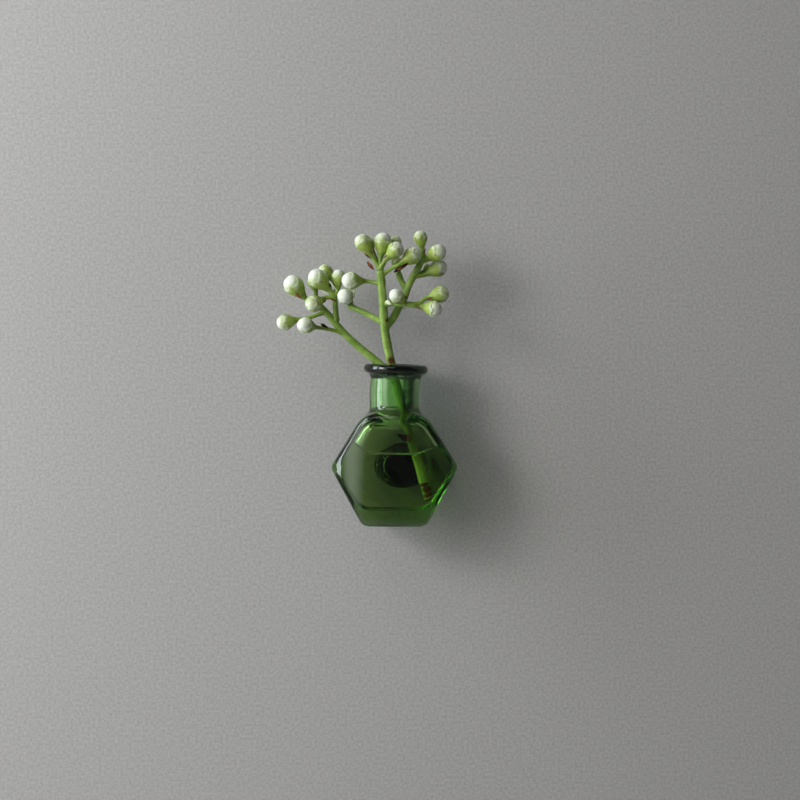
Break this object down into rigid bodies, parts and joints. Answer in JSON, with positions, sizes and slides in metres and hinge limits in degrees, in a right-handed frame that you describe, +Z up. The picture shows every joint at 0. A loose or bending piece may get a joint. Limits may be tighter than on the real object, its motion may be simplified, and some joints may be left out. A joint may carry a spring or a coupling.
{
  "type": "magnetic wall bud vase",
  "caption": "Hexagonal green glass bud vase with a magnet glued to its back, holding one cut sprig of round white flower buds.",
  "frame": {"origin": "centre of the magnet's rear face, where it meets the wall", "axes": "+Y into the wall, +Z up, +X to the right seen from the front; the vase hangs at negative Y"},
  "size_m": [0.0574, 0.0287, 0.0938],
  "materials": {
    "green_glass": "polished",
    "clear_glue": "gloss",
    "black_magnet": "matte",
    "stem_green": "satin",
    "calyx_green": "satin",
    "bud_white": "satin"
  },
  "bodies": {
    "vase": {"glass_vase": "green_glass", "glue_pad": "clear_glue", "magnet_disc": "black_magnet"},
    "sprig": {"main_stem": "stem_green", "left_branch": "stem_green", "upright_twig": "stem_green", "middle_branch": "stem_green", "right_branch": "stem_green", "rear_twig": "stem_green", "front_branch": "stem_green", "bud_01": "bud_white", "bud_02": "bud_white", "bud_03": "bud_white", "bud_04": "bud_white", "bud_05": "bud_white", "bud_06": "bud_white", "bud_07": "bud_white", "bud_08": "bud_white", "bud_09": "bud_white", "bud_10": "bud_white", "bud_11": "bud_white", "bud_12": "bud_white", "bud_13": "bud_white", "bud_14": "bud_white", "bud_15": "bud_white", "bud_16": "bud_white", "bud_17": "bud_white", "bud_18": "bud_white", "bud_19": "bud_white", "bud_20": "bud_white", "bud_21": "bud_white", "bud_22": "bud_white", "bud_23": "bud_white", "bud_24": "bud_white", "calyx_01": "calyx_green", "calyx_02": "calyx_green", "calyx_03": "calyx_green", "calyx_04": "calyx_green", "calyx_05": "calyx_green", "calyx_06": "calyx_green", "calyx_07": "calyx_green", "calyx_08": "calyx_green", "calyx_09": "calyx_green", "calyx_10": "calyx_green", "calyx_11": "calyx_green", "calyx_12": "calyx_green", "calyx_13": "calyx_green", "calyx_14": "calyx_green", "calyx_15": "calyx_green", "calyx_16": "calyx_green", "calyx_17": "calyx_green", "calyx_18": "calyx_green", "calyx_19": "calyx_green", "calyx_20": "calyx_green", "calyx_21": "calyx_green", "calyx_22": "calyx_green", "calyx_23": "calyx_green", "calyx_24": "calyx_green"}
  },
  "joints": [
    {"name": "sprig_lift", "type": "slide", "parent": "vase", "child": "sprig", "axis": [-0.2249, -0.2182, 0.9496], "range_m": [0, 0.05]}
  ]
}
